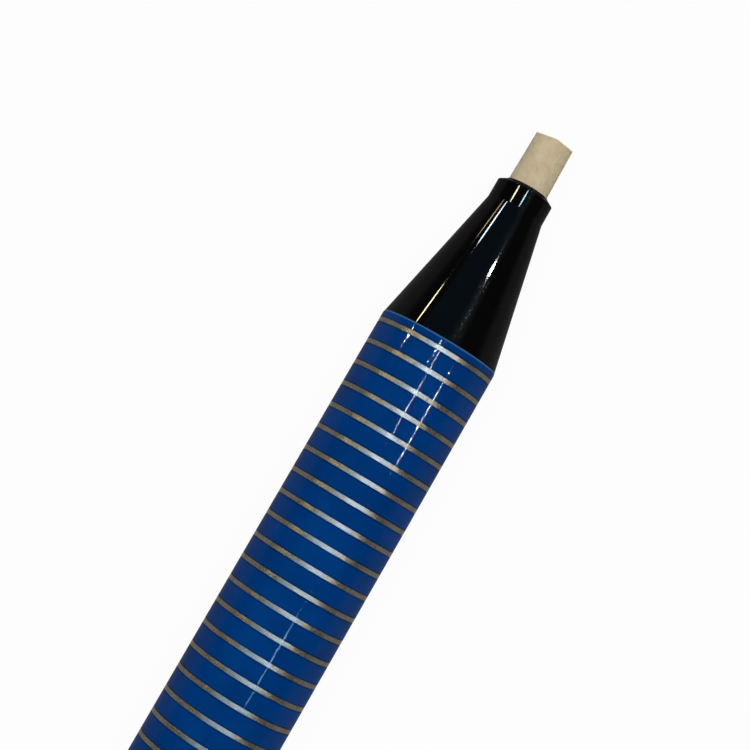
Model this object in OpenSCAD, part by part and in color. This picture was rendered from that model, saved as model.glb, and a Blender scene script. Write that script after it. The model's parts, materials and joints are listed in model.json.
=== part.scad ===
// Twist-action eraser stick: a striped metal barrel with a black nose cone,
// a round vinyl stick fed by a spiral sleeve, a rear twist knob and a sprung pocket clip.
// The axis of the stick is X with the tip at +X and Z up.
// The origin is on the axis where the barrel reaches its full diameter behind the nose.

/* [Barrel] */
// Outside diameter of the barrel
barrel_d = 12; // [11.6:0.1:13]
// Length of the barrel from its front edge to its rear end
barrel_len = 88; // [84:1:96]
// Wall of the barrel tube
barrel_wall = 0.7; // [0.6:0.05:0.8]
// Length of the chamfer on the barrel's front edge
edge_len = 0.25; // [0.15:0.05:0.5]
// Drop in radius over that chamfer
edge_drop = 0.05; // [0.03:0.01:0.1]

/* [Silver bands] */
// Distance from one band to the next
band_pitch = 2.294; // [1.8:0.002:3]
// Width of one band
band_w = 0.45; // [0.3:0.05:0.7]
// Depth of the groove that a band lies in
band_depth = 0.06; // [0.04:0.01:0.1]
// Distance from the start of the full diameter to the middle of the first band
band_first = 0.78; // [0.7:0.02:1.4]
// Plain length left behind the last band
band_margin = 1; // [0.6:0.2:2]
// Width of the broad ring in front of the clip
mid_ring_w = 1.2; // [0.8:0.1:1.4]
// How far the broad ring lies under the lacquer
mid_ring_sink = 0.17; // [0.1:0.01:0.25]
// Thickness of the broad ring
mid_ring_t = 0.2; // [0.15:0.05:0.25]

/* [Nose] */
// How far the cone lies under the barrel's edge where they meet
nose_step = 0.01; // [0:0.01:0.1]
// Length of the straight cone
cone_len = 14.45; // [13:0.05:18]
// Diameter of the collar at the front of the cone
collar_d = 5.8; // [5.4:0.1:6.6]
// Length of the collar
collar_len = 1.93; // [1.5:0.01:3]
// Length of the chamfer in front of the collar
collar_chamfer_len = 0.36; // [0.3:0.02:0.8]
// Length of the spigot that screws into the barrel
spigot_len = 8.2; // [7:0.2:10]
// Depth of the hollow measured from the barrel's front edge
nose_hollow_len = 3; // [2:0.5:4]
// Radius of the hollow inside the spigot
nose_hollow_r = 3.6; // [3.3:0.1:3.8]
// Length of the relief between the cone and the spigot's thread
relief_len = 0.8; // [0.6:0.1:1.2]
// Depth of that relief
relief_drop = 0.35; // [0.2:0.05:0.5]

/* [Tip sleeve] */
// Wall of the thin tip sleeve
sleeve_wall = 0.12; // [0.12:0.01:0.25]
// How far the sleeve stands out of the nose
lip_out = 0.11; // [0.1:0.01:0.5]
// Length of the sleeve in front of its flange
sleeve_len = 7.5; // [6:0.5:9]
// Thickness of the sleeve's flange
sleeve_flange_t = 0.7; // [0.5:0.1:1]
// How far the flange stands out of the sleeve
sleeve_flange_out = 0.45; // [0.35:0.05:0.6]

/* [Eraser] */
// Diameter of the eraser stick
eraser_d = 4.1; // [3.6:0.05:4.15]
// Length of the eraser stick measured on its axis
eraser_len = 57.88; // [54:0.02:70]
// How far the eraser stands out of the tip sleeve on its axis
eraser_out = 5.68; // [3:0.02:8]
// How much narrower the stick is at its worn end
eraser_narrow = 0.22; // [0:0.02:0.4]
// Sideways place of the worn ridge
ridge_y = -0.08; // [-0.5:0.02:0.5]
// Angle of the worn face on the left of the ridge
wear_left = 9.6; // [4:0.2:20]
// Angle of the worn face on the right of the ridge
wear_right = 9.6; // [4:0.2:20]
// Lean of both worn faces towards the table
wear_lean = 11.6; // [0:0.2:25]

/* [Eraser carrier] */
// Depth of the cup that grips the eraser
cup_depth = 6; // [5:0.5:8]
// Length of the plug behind the cup
plug_len = 3; // [2.6:0.2:4]
// Radius of the peg that follows the spiral
peg_r = 0.6; // [0.5:0.05:0.7]

/* [Guide tube] */
// Wall of the guide tube
guide_wall = 0.5; // [0.45:0.05:0.6]
// Radial room between the carrier and the guide tube
carrier_gap = 0.08; // [0.05:0.01:0.1]
// Wall of the carrier's cup
cup_wall = 0.42; // [0.35:0.01:0.45]
// Thickness of the guide tube's flange
guide_flange_t = 0.8; // [0.6:0.1:1]
// Room on each side of the peg in its straight slot
slot_gap = 0.06; // [0.04:0.01:0.1]

/* [Spiral sleeve] */
// Wall of the spiral sleeve
spiral_wall = 1.1; // [0.9:0.05:1.2]
// Feed of the eraser for one turn of the knob
lead = 10; // [8:0.5:12]
// Radial room between the guide tube and the spiral sleeve
spiral_gap = 0.08; // [0.05:0.01:0.1]
// Room on each side of the peg in the spiral slot
peg_gap = 0.1; // [0.08:0.01:0.15]
// Closed length at the front of the spiral
spiral_front_land = 2.4; // [2:0.2:5]
// Closed length at the rear of the spiral
spiral_rear_land = 4.2; // [3:0.2:7]
// Length of the hub that takes the drive stem
hub_len = 3.4; // [3:0.2:5]

/* [Front bushing and drag spring] */
// Length of the front bushing
front_bush_len = 11; // [10.8:0.2:14]
// Wall of the front bushing around the nose spigot
bush_wall = 0.65; // [0.5:0.05:0.75]
// How far the front bushing lies behind the barrel's edge
bush_recess = 0.6; // [0.4:0.1:1]
// Length of the drag spring
drag_len = 2.6; // [2.2:0.2:4]
// Wire radius of the drag spring
drag_wire_r = 0.2; // [0.15:0.05:0.25]
// Turns of the drag spring
drag_turns = 4; // [3:1:5]
// Thickness of each flat washer
washer_t = 0.4; // [0.3:0.05:0.6]

/* [Rear bushing and stem] */
// Length of the rear bushing inside the barrel
rear_bush_len = 9.75; // [8:0.25:12]
// Thickness of the rear bushing's visible flange
flange_t = 0.9; // [0.7:0.1:1.4]
// How far the flange lies under the barrel's diameter
flange_drop = 0.25; // [0.15:0.05:0.4]
// Radius of the stem's journal
journal_r = 2.8; // [2.5:0.1:2.9]
// Radial running room of the journal
journal_gap = 0.05; // [0.03:0.01:0.08]
// Side of the square that drives the spiral sleeve
square_side = 3; // [2.6:0.1:3.1]
// Depth of the retaining clip's groove
ering_groove = 0.6; // [0.5:0.05:0.7]
// Thickness of the retaining clip
ering_t = 0.5; // [0.4:0.05:0.6]
// Radius of the friction ring's cord
oring_r = 0.5; // [0.4:0.05:0.6]
// Distance of the friction ring from the rear end of the barrel
oring_at = 3.6; // [3:0.2:6]
// Chamfer on the flange's rear edge
flange_chamfer = 0.15; // [0.1:0.05:0.25]

/* [Twist knob] */
// Length of the twist knob
knob_len = 18; // [16:0.5:24]
// How far the knob lies under the barrel's radius
knob_drop = 0.4; // [0.2:0.05:0.6]
// Number of grip flutes around the knob
flutes = 24; // [16:1:30]
// Depth of one flute
flute_depth = 0.28; // [0.15:0.01:0.35]
// Radius of the cutter that makes a flute
flute_r = 0.55; // [0.45:0.05:0.6]
// Length of the flutes
flute_len = 11; // [8:0.5:12]
// Gap between the knob and the flange in front of it
knob_gap = 0.25; // [0.15:0.05:0.4]
// Length of the stem inside the knob
stem_in_knob = 11; // [9:0.5:12]
// Thickness of the knob's inner floor
knob_floor = 1.6; // [1.2:0.1:2]
// Radius of the counterbore behind the floor
counterbore_r = 3.2; // [2.6:0.1:3.6]
// Distance of the knob's ring groove from its front
knob_land = 2.4; // [2:0.1:3]
// Width of the knob's ring groove
knob_groove_w = 0.6; // [0.4:0.1:0.8]
// Depth of the knob's ring groove
knob_groove_depth = 0.3; // [0.2:0.05:0.4]
// Chamfer on the knob's front edge
knob_front_chamfer = 0.3; // [0.2:0.05:0.5]
// Length of the taper at the knob's rear
knob_taper_len = 1.4; // [1:0.1:2]

/* [Knob screw and end cap] */
// Radius of the knob screw's shank
screw_r = 1; // [0.8:0.05:1.2]
// Length of the shank under the head
screw_len = 6.8; // [6:0.2:8]
// Radius of the screw's head
screw_head_r = 1.9; // [1.6:0.1:2.2]
// Height of the screw's head
screw_head_h = 1.3; // [1:0.1:1.5]
// Height of the end cap's dome
cap_dome_h = 1.6; // [1.2:0.1:2.4]
// Radius of the end cap
cap_r = 4.3; // [3.9:0.1:4.5]
// Length of the end cap's plug
cap_plug_len = 2.6; // [2:0.1:3]
// Height of the straight rim under the dome
cap_rim_h = 0.26; // [0.15:0.01:0.5]
// Width of the knob's edge around the end cap
cap_margin = 0.25; // [0.15:0.05:0.4]

/* [Clip] */
// Length of the clip from its hinge pin to its tip
clip_len = 34.4; // [30:0.2:38]
// Width of the clip at the hinge
clip_w = 4; // [3.8:0.1:5]
// Width of the clip at the tip
clip_tip_w = 2.8; // [2.4:0.1:3.4]
// Thickness of the clip's sheet
clip_t = 0.6; // [0.5:0.05:0.7]
// Height of the clip's outer face over the barrel at the hinge
clip_rise = 2.95; // [2.85:0.05:3.3]
// Height of the hinge pin over the barrel
pin_rise = 1.45; // [1.35:0.05:1.5]
// Radius of the hinge pin
pin_r = 0.45; // [0.4:0.05:0.5]
// Radial running room of the hinge pin
pin_gap = 0.03; // [0.02:0.01:0.05]
// Thickness of one hinge ear
ear_t = 0.45; // [0.35:0.05:0.5]
// Room between an ear and the clip's cheek
ear_gap = 0.08; // [0.05:0.01:0.12]
// Thickness of the ring that carries the clip
clip_ring_t = 1.3; // [1.2:0.1:1.6]
// Radius of the ball at the clip's tip
ball_r = 0.8; // [0.7:0.05:1]
// Distance of the ball from the clip's tip
ball_back = 2.2; // [1.8:0.1:3]
// Gap between the ball and the barrel
ball_gap = 0.1; // [0.05:0.05:0.3]
// Wire radius of the clip's torsion spring
clip_wire_r = 0.11; // [0.09:0.01:0.12]
// Turns of the clip's torsion spring
clip_turns = 3; // [2:1:3]
// Length of the spring's leg under the clip's tail
clip_leg = 1.7; // [1.5:0.1:2]
// Length of the clip's tail behind the hinge pin
tail_len = 3; // [2.6:0.1:3.4]
// Length of the clip's straight part in front of the hinge pin
arm_flat_len = 10; // [8:0.5:12]
// How far the clip's end is bent up in front of the ball
arm_kick = 0.5; // [0.3:0.1:0.8]
// How far the ball is set into the clip
ball_sink = 0.4; // [0.3:0.05:0.45]

/* [Hidden] */
$fn = 96;

// Room left between pieces that are pressed or screwed together
fit_gap = 0.02;
// End play between pieces that turn against each other
end_play = 0.05;
// Radial room around the eraser in the tip sleeve
eraser_gap = 0.03;
// Width of the rim left around the sleeve at the nose's tip
nose_rim = 0.1;
// How far the peg stops short of the spiral sleeve's outside
peg_short = 0.15;
// Gap between the guide tube's rear end and the hub
guide_stop = 0.4;
// How far the retaining clip stays inside the spiral sleeve's radius
ering_drop = 0.2;
// Radial room of the screw in the knob's floor
screw_gap = 0.1;
// Free depth past the screw's end
screw_tip_room = 0.6;
// Room on each side of the friction ring in its groove
oring_room = 0.1;
// Radial room between the friction ring and the stem
oring_gap = 0.03;
// Radial room between the torsion spring and the hinge pin
coil_gap = 0.07;
// Room between the torsion spring and what it lies beside or bears on
coil_room = 0.05;
// How far an ear is rounder than the ring is thick
ear_lip = 0.05;
// How far the clip's ring lies under the barrel's radius
ring_drop = 0.05;
// Overshoot of a cutter past the face that it cuts
cut = 0.5;
// Overlap of two forms that are one piece
join = 0.2;
// Sides of a spring's wire
wire_sides = 6;

// Radii from the barrel inwards
barrel_r = barrel_d / 2;
bore_r = barrel_r - barrel_wall;
nose_base_r = barrel_r - edge_drop - nose_step;
collar_r = collar_d / 2;
thread_r = bore_r - bush_wall;
eraser_r = eraser_d / 2;
worn_r = eraser_r - eraser_narrow / 2;
cup_r = eraser_r + cup_wall;
guide_in_r = cup_r + carrier_gap;
guide_r = guide_in_r + guide_wall;
spiral_in_r = guide_r + spiral_gap;
spiral_r = spiral_in_r + spiral_wall;
sleeve_in_r = eraser_r + eraser_gap;
sleeve_r = sleeve_in_r + sleeve_wall;
sleeve_flange_r = sleeve_r + sleeve_flange_out;
nose_lip_r = sleeve_r + nose_rim;

// Places along the nose
front_x = edge_len;
rear_x = front_x - barrel_len;
cone_x = front_x + cone_len;
collar_x = cone_x + collar_len;
nose_tip_x = collar_x + collar_chamfer_len;
lip_x = nose_tip_x + lip_out;
tip_x = lip_x + eraser_out;
sleeve_seat_x = lip_x - sleeve_len;
sleeve_back_x = sleeve_seat_x - sleeve_flange_t;
spigot_x = front_x - spigot_len;

// Places along the front bushing, guide tube and drag spring
guide_seat_x = spigot_x - guide_flange_t - fit_gap;
bush_front_x = front_x - bush_recess;
web_x = front_x - front_bush_len;
washer_x = web_x - drag_len - washer_t;
spiral_front_x = washer_x - end_play;

// Places along the rear bushing, stem and hub
bush_inner_x = rear_x + rear_bush_len;
rear_washer_x = bush_inner_x + end_play;
ering_x = rear_washer_x + washer_t + end_play;
hub_back_x = ering_x + ering_t + 2 * end_play;
hub_front_x = hub_back_x + hub_len;
guide_back_x = hub_front_x + guide_stop;
clip_ring_x = rear_x - clip_ring_t;
flange_x = clip_ring_x - flange_t;
knob_front_x = flange_x - knob_gap;
knob_back_x = knob_front_x - knob_len;
knob_floor_x = knob_front_x - stem_in_knob;
counterbore_x = knob_floor_x - knob_floor;
knob_r = barrel_r - knob_drop;
flange_r = barrel_r - flange_drop;
ering_r = spiral_r - ering_drop;
ering_groove_r = journal_r - ering_groove;

// Places along the eraser and its carrier
eraser_back_x = tip_x - eraser_len;
cup_x = eraser_back_x + cup_depth;
carrier_back_x = eraser_back_x - plug_len;
peg_x = eraser_back_x - plug_len / 2;
slot_room = peg_r + peg_gap;
peg_front_x = spiral_front_x - spiral_front_land - slot_room;
peg_back_x = hub_front_x + spiral_rear_land + slot_room;
peg_top_r = spiral_r - peg_short;

// Half angle of the spiral slot that leaves the peg its room at the sleeve's inner wall
helix_len = sqrt(pow(lead, 2) + pow(2 * PI * spiral_in_r, 2));
slot_half = slot_room * helix_len / (spiral_in_r * lead) * 180 / PI;
slot_x0 = peg_back_x - slot_room;
slot_len = peg_front_x + slot_room - slot_x0;
slices_per_turn = 30;
slot_in_r = spiral_in_r - join;
slot_out_r = (spiral_r + join) / cos(slot_half);

// Silver bands and the broad ring that takes the place of one of them
clip_pin_x = rear_x - clip_ring_t / 2;
clip_tip_x = clip_pin_x + clip_len;
band_n = floor((barrel_len - edge_len - band_first - band_margin) / band_pitch) + 1;
mid_gap = 0.7;
mid_band = floor((-band_first - clip_tip_x - mid_gap) / band_pitch);
mid_x = -band_first - mid_band * band_pitch;
mid_r = barrel_r - mid_ring_sink;
band_centres = [for (i = [0:band_n - 1]) if (i != mid_band) -band_first - i * band_pitch];

// Clip, built pointing up and then leaned so that the barrel and the clip's edge both touch the table
clip_outer = barrel_r + clip_rise;
clip_half = clip_w / 2;
clip_lean = atan2(clip_half, clip_outer) + acos(barrel_r / sqrt(pow(clip_outer, 2) + pow(clip_half, 2)));
clip_turn = clip_lean - 180;
roof_in = clip_outer - clip_t;
pin_z = barrel_r + pin_rise;
cheek_in = clip_half - clip_t;
ear_out = cheek_in - ear_gap;
ear_in = ear_out - ear_t;
ear_r = clip_ring_t / 2 + ear_lip;
ball_x = clip_tip_x - ball_back;
ball_z = barrel_r + ball_gap + ball_r;
arm_drop = roof_in - (ball_z + ball_r - ball_sink);
coil_r = pin_r + clip_wire_r + coil_gap;

// A piece drawn along Z is laid along the axis of the stick
module along_axis() {
    rotate([0, 90, 0]) children();
}

// A turned piece from its half section, whose points are [radius, place along the axis]
module turned(section) {
    along_axis() rotate_extrude() polygon(section);
}

// A round rod between two places on the axis
module rod(x0, x1, r) {
    along_axis() translate([0, 0, x0]) cylinder(h = x1 - x0, r = r);
}

// A tube between two places on the axis
module tube(x0, x1, r_in, r_out) {
    difference() {
        rod(x0, x1, r_out);
        rod(x0 - cut, x1 + cut, r_in);
    }
}

// Round wire through a list of centre points, with its own frame at each point
module wire(points, normals, r) {
    n = len(points);
    sides = wire_sides;
    rings = [for (i = [0:n - 1])
        let (ahead = points[min(i + 1, n - 1)] - points[max(i - 1, 0)],
            side = cross(ahead, normals[i]),
            u = normals[i],
            v = side / norm(side))
        for (k = [0:sides - 1])
            points[i] + r * (cos(360 * k / sides) * u + sin(360 * k / sides) * v)];
    walls = [for (i = [0:n - 2]) for (k = [0:sides - 1])
        let (a = i * sides + k,
            b = i * sides + (k + 1) % sides)
        each [[a, b + sides, b], [a, a + sides, b + sides]]];
    last = (n - 1) * sides;
    ends = [for (k = [1:sides - 2]) each [[0, k, k + 1], [last, last + k + 1, last + k]]];
    polyhedron(points = rings, faces = concat(walls, ends));
}

// Half space beyond one worn face of the eraser
module wear_cut(turn) {
    reach = 3 * eraser_r;
    translate([tip_x, ridge_y, 0])
        rotate([0, -wear_lean, turn])
            translate([0, -2 * reach, -2 * reach]) cube([2 * reach, 4 * reach, 4 * reach]);
}

module eraser() {
    color([0.86, 0.80, 0.66]) difference() {
        turned([
            [0, eraser_back_x + fit_gap],
            [eraser_r, eraser_back_x + fit_gap],
            [eraser_r, lip_x],
            [worn_r, tip_x],
            [worn_r, tip_x + eraser_r],
            [0, tip_x + eraser_r]]);
        wear_cut(wear_left);
        wear_cut(-wear_right);
    }
}

module eraser_carrier() {
    color([0.90, 0.90, 0.88]) difference() {
        rod(carrier_back_x, cup_x, cup_r);
        rod(eraser_back_x, cup_x + cut, eraser_r + fit_gap);
        translate([peg_x, 0, 0]) cylinder(h = cup_r + cut, r = peg_r + fit_gap);
    }
}

module carrier_peg() {
    color([0.75, 0.75, 0.78])
        translate([peg_x, 0, fit_gap]) cylinder(h = peg_top_r - fit_gap, r = peg_r);
}

module tip_sleeve() {
    color([0.12, 0.12, 0.13]) turned([
        [sleeve_in_r, sleeve_back_x],
        [sleeve_flange_r, sleeve_back_x],
        [sleeve_flange_r, sleeve_seat_x],
        [sleeve_r, sleeve_seat_x],
        [sleeve_r, lip_x],
        [sleeve_in_r, lip_x]]);
}

module nose_cone() {
    color([0.03, 0.03, 0.035]) turned([
        [nose_hollow_r, spigot_x],
        [thread_r - fit_gap, spigot_x],
        [thread_r - fit_gap, front_x - relief_len],
        [thread_r - relief_drop, front_x - relief_len],
        [thread_r - relief_drop, front_x],
        [nose_base_r, front_x],
        [collar_r, cone_x],
        [collar_r, collar_x],
        [nose_lip_r, nose_tip_x],
        [sleeve_r + fit_gap, nose_tip_x],
        [sleeve_r + fit_gap, sleeve_seat_x],
        [sleeve_flange_r + fit_gap, sleeve_seat_x],
        [sleeve_flange_r + fit_gap, sleeve_back_x],
        [nose_hollow_r, nose_hollow_len]]);
}

module front_bushing() {
    color([0.80, 0.65, 0.35]) turned([
        [guide_r + fit_gap, web_x],
        [bore_r - fit_gap, web_x],
        [bore_r - fit_gap, bush_front_x],
        [thread_r, bush_front_x],
        [thread_r, guide_seat_x],
        [guide_r + fit_gap, guide_seat_x]]);
}

// One groove in the barrel's half section, drawn from front to rear
function groove(x, w, r) = [
    [barrel_r, x + w / 2],
    [r, x + w / 2],
    [r, x - w / 2],
    [barrel_r, x - w / 2]];

module barrel() {
    band_floor = barrel_r - band_depth;
    mid_floor = mid_r - mid_ring_t;
    grooves = [for (i = [0:band_n - 1]) each i == mid_band
        ? groove(mid_x, mid_ring_w, mid_floor)
        : groove(-band_first - i * band_pitch, band_w, band_floor)];
    color([0.02, 0.22, 0.50]) turned(concat(
        [[bore_r, rear_x], [bore_r, front_x], [barrel_r - edge_drop, front_x], [barrel_r, 0]],
        grooves,
        [[barrel_r, rear_x]]));
}

module silver_bands() {
    color([0.75, 0.74, 0.70]) for (x = band_centres)
        tube(x - band_w / 2, x + band_w / 2, barrel_r - band_depth, barrel_r);
}

module mid_ring() {
    color([0.80, 0.80, 0.80])
        tube(mid_x - mid_ring_w / 2, mid_x + mid_ring_w / 2, mid_r - mid_ring_t, mid_r);
}

module guide_tube() {
    slot_w = 2 * (peg_r + slot_gap);
    end_room = 0.3;
    back_x = slot_x0 - end_room;
    long = slot_len + 2 * end_room;
    color([0.85, 0.85, 0.80]) difference() {
        turned([
            [guide_in_r, guide_back_x],
            [guide_r, guide_back_x],
            [guide_r, guide_seat_x],
            [thread_r - fit_gap, guide_seat_x],
            [thread_r - fit_gap, guide_seat_x + guide_flange_t],
            [guide_in_r, guide_seat_x + guide_flange_t]]);
        translate([back_x, -slot_w / 2, 0]) cube([long, slot_w, guide_r + cut]);
    }
}

module drag_spring() {
    per_turn = 14;
    steps = per_turn * drag_turns;
    mean_r = (spiral_r + spiral_in_r) / 2;
    run = drag_len - 2 * drag_wire_r - 4 * fit_gap;
    start_x = web_x - drag_len + drag_wire_r + 2 * fit_gap;
    turns = [for (i = [0:steps]) 360 * drag_turns * i / steps];
    centres = [for (i = [0:steps])
        [start_x + run * i / steps, mean_r * sin(turns[i]), mean_r * cos(turns[i])]];
    normals = [for (t = turns) [0, sin(t), cos(t)]];
    color([0.70, 0.70, 0.72]) wire(centres, normals, drag_wire_r);
}

module front_washer() {
    color([0.78, 0.78, 0.80])
        tube(washer_x, washer_x + washer_t, guide_r + 2 * fit_gap, spiral_r);
}

// The sector that is swept along the helix to cut the spiral slot
module spiral_cut() {
    start = 180 + 360 * (peg_x - slot_x0) / lead;
    slices = ceil(slices_per_turn * slot_len / lead);
    sector = [for (c = [[slot_in_r, -1], [slot_out_r, -1], [slot_out_r, 1], [slot_in_r, 1]])
        c[0] * [cos(c[1] * slot_half), sin(c[1] * slot_half)]];
    along_axis() translate([0, 0, slot_x0]) rotate([0, 0, start])
        linear_extrude(height = slot_len, twist = 360 * slot_len / lead, slices = slices, $fn = 4)
            polygon(sector);
}

module spiral_sleeve() {
    side = square_side + 2 * fit_gap;
    color([0.20, 0.20, 0.22]) difference() {
        rod(hub_back_x, spiral_front_x, spiral_r);
        rod(hub_front_x, spiral_front_x + cut, spiral_in_r);
        translate([hub_back_x - cut, -side / 2, -side / 2]) cube([hub_len + 2 * cut, side, side]);
        spiral_cut();
    }
}

module drive_stem() {
    groove_back_x = ering_x - fit_gap;
    groove_front_x = ering_x + ering_t + fit_gap;
    color([0.70, 0.70, 0.72]) difference() {
        union() {
            turned([
                [0, knob_floor_x],
                [journal_r, knob_floor_x],
                [journal_r, groove_back_x],
                [ering_groove_r, groove_back_x],
                [ering_groove_r, groove_front_x],
                [0, groove_front_x]]);
            translate([groove_front_x - cut, -square_side / 2, -square_side / 2])
                cube([hub_front_x - groove_front_x + cut - fit_gap, square_side, square_side]);
        }
        rod(knob_floor_x - cut, counterbore_x + screw_len + screw_tip_room, screw_r + fit_gap);
    }
}

module rear_washer() {
    color([0.78, 0.78, 0.80])
        tube(rear_washer_x, rear_washer_x + washer_t, journal_r + journal_gap, spiral_r);
}

module retaining_clip() {
    mouth_share = 0.85;
    mouth = mouth_share * 2 * ering_groove_r;
    color([0.35, 0.35, 0.38]) difference() {
        tube(ering_x, ering_x + ering_t, ering_groove_r + fit_gap, ering_r);
        translate([ering_x - cut, -mouth / 2, 0]) cube([ering_t + 2 * cut, mouth, ering_r + cut]);
    }
}

module rear_bushing() {
    ring_x = rear_x + oring_at;
    oring_half = oring_r + oring_room;
    oring_floor = journal_r + 2 * oring_r + oring_room;
    color([0.78, 0.78, 0.80]) turned([
        [journal_r + journal_gap, flange_x],
        [flange_r - flange_chamfer, flange_x],
        [flange_r, flange_x + flange_chamfer],
        [flange_r, clip_ring_x],
        [bore_r - fit_gap, clip_ring_x],
        [bore_r - fit_gap, bush_inner_x],
        [journal_r + journal_gap, bush_inner_x],
        [journal_r + journal_gap, ring_x + oring_half],
        [oring_floor, ring_x + oring_half],
        [oring_floor, ring_x - oring_half],
        [journal_r + journal_gap, ring_x - oring_half]]);
}

module friction_ring() {
    color([0.08, 0.08, 0.08]) translate([rear_x + oring_at, 0, 0]) along_axis() rotate_extrude()
        translate([journal_r + oring_r + oring_gap, 0]) circle(r = oring_r, $fn = 32);
}

module twist_knob() {
    flute_margin = 0.7;
    groove_x = knob_front_x - knob_land - knob_groove_w;
    flute_x1 = groove_x - flute_margin;
    flute_x0 = flute_x1 - flute_len;
    color([0.03, 0.03, 0.035]) difference() {
        turned([
            [journal_r + fit_gap, knob_front_x],
            [knob_r - knob_front_chamfer, knob_front_x],
            [knob_r, knob_front_x - knob_front_chamfer],
            [knob_r, groove_x + knob_groove_w],
            [knob_r - knob_groove_depth, groove_x + knob_groove_w],
            [knob_r - knob_groove_depth, groove_x],
            [knob_r, groove_x],
            [knob_r, knob_back_x + knob_taper_len],
            [cap_r + cap_margin, knob_back_x],
            [counterbore_r, knob_back_x],
            [counterbore_r, counterbore_x],
            [screw_r + screw_gap, counterbore_x],
            [screw_r + screw_gap, knob_floor_x],
            [journal_r + fit_gap, knob_floor_x]]);
        for (i = [0:flutes - 1]) rotate([360 * i / flutes, 0, 0])
            translate([0, 0, knob_r - flute_depth + flute_r]) rod(flute_x0, flute_x1, flute_r, $fn = 24);
    }
}

module knob_screw() {
    head_x = counterbore_x - screw_head_h;
    slot_w = 0.5;
    slot_deep = 0.6;
    slot_reach = 0.6 * screw_head_r;
    color([0.70, 0.70, 0.72]) difference() {
        union() {
            rod(counterbore_x - cut, counterbore_x + screw_len, screw_r);
            rod(head_x, counterbore_x - fit_gap, screw_head_r);
        }
        for (a = [0, 90]) rotate([a, 0, 0])
            translate([head_x - cut, -slot_reach, -slot_w / 2])
                cube([slot_deep + cut, 2 * slot_reach, slot_w]);
    }
}

module end_cap() {
    rise = cap_dome_h - cap_rim_h;
    dome_r = (pow(cap_r, 2) + pow(rise, 2)) / (2 * rise);
    color([0.80, 0.80, 0.80]) union() {
        rod(knob_back_x - join, knob_back_x + cap_plug_len, counterbore_r - fit_gap);
        intersection() {
            rod(knob_back_x - cap_dome_h - cut, knob_back_x - fit_gap, cap_r);
            translate([knob_back_x - cap_dome_h + dome_r, 0, 0]) sphere(r = dome_r);
        }
    }
}

// Everything on the clip is drawn pointing up and leaned over here
module leaned() {
    rotate([clip_turn, 0, 0]) children();
}

module clip_ring() {
    root_r = bore_r + join;
    color([0.78, 0.78, 0.80]) leaned() {
        difference() {
            union() {
                rod(clip_ring_x + fit_gap, rear_x - fit_gap, barrel_r - ring_drop);
                for (s = [-1, 1]) translate([0, s * (ear_in + ear_out) / 2, 0]) {
                    translate([clip_ring_x + fit_gap, -ear_t / 2, root_r])
                        cube([clip_ring_t - 2 * fit_gap, ear_t, pin_z - root_r]);
                    translate([clip_pin_x, -ear_t / 2, pin_z])
                        rotate([-90, 0, 0]) cylinder(h = ear_t, r = ear_r);
                }
            }
            rod(clip_ring_x - cut, rear_x + cut, bore_r + fit_gap);
            translate([clip_pin_x, -clip_w, pin_z])
                rotate([-90, 0, 0]) cylinder(h = 2 * clip_w, r = pin_r + fit_gap);
        }
    }
}

module clip_pin() {
    color([0.70, 0.70, 0.72]) leaned()
        translate([clip_pin_x, -clip_half, pin_z]) rotate([-90, 0, 0]) cylinder(h = clip_w, r = pin_r);
}

// Lean of a spring's leg that starts on the coil and ends at this height over the pin
function leg_lean(height) = atan2(clip_leg, coil_r) - acos(height / sqrt(pow(clip_leg, 2) + pow(coil_r, 2)));

module clip_spring() {
    per_turn = 12;
    half = ear_in - clip_wire_r - coil_room;
    wire_room = clip_wire_r + coil_room;
    roof_lean = leg_lean(roof_in - pin_z - wire_room);
    seat_lean = 45;
    seat_leg = (pin_z - barrel_r - wire_room - coil_r * cos(seat_lean)) / sin(seat_lean);
    first = 270 + seat_lean;
    sweep = 360 * clip_turns + 180 - seat_lean - roof_lean;
    last = first + sweep;
    steps = ceil(per_turn * sweep / 360);
    turns = [for (i = [0:steps]) first + sweep * i / steps];
    coil = [for (i = [0:steps])
        [clip_pin_x + coil_r * cos(turns[i]), half * (2 * i / steps - 1), pin_z + coil_r * sin(turns[i])]];
    normals = [for (t = turns) [cos(t), 0, sin(t)]];
    seat_end = coil[0] - seat_leg * [-sin(first), 0, cos(first)];
    roof_end = coil[steps] + clip_leg * [-sin(last), 0, cos(last)];
    color([0.70, 0.70, 0.72]) leaned() wire(
        concat([seat_end], coil, [roof_end]),
        concat([normals[0]], normals, [normals[steps]]),
        clip_wire_r);
}

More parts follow.
